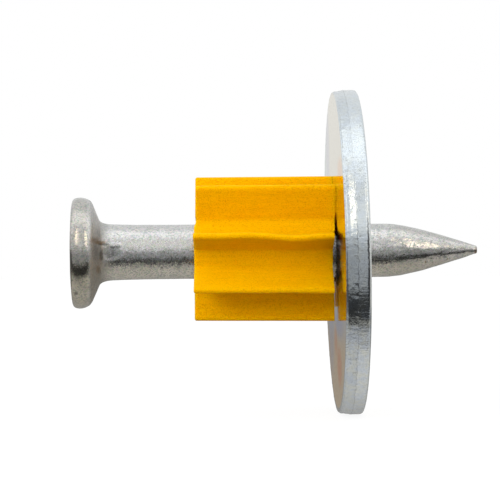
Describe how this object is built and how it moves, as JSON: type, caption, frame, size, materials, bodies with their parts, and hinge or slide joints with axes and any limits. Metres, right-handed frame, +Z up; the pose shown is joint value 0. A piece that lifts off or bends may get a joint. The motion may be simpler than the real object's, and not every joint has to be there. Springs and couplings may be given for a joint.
{
  "type": "powder-actuated drive pin with washer",
  "caption": "Hardened flat-headed nail for a powder-actuated tool, with an ogive point, a finned plastic guide flute and a round steel washer that slide on its shank.",
  "frame": {"origin": "centre of the flat driving face on the pin's head", "axes": "+X along the pin from the head towards the point, +Z up; the eight fins and both discs are centred on the X axis"},
  "size_m": [0.0277, 0.0222, 0.0222],
  "materials": {
    "dull_zinc": "dull mechanical zinc plate on hardened steel, finely pitted",
    "bright_zinc": "bright clear zinc plate on blanked sheet steel",
    "yellow_plastic": "satin moulded plastic with fine lines along the fins"
  },
  "bodies": {
    "pin": {"drive_pin": "dull_zinc"},
    "flute": {"guide_flute": "yellow_plastic"},
    "washer": {"washer": "bright_zinc"}
  },
  "joints": [
    {"name": "flute_slide", "type": "slide", "parent": "pin", "child": "flute", "axis": [-1, 0, 0], "range_m": [0, 0.0056]},
    {"name": "washer_slide", "type": "slide", "parent": "flute", "child": "washer", "axis": [1, 0, 0], "range_m": [0, 0.0016]}
  ]
}
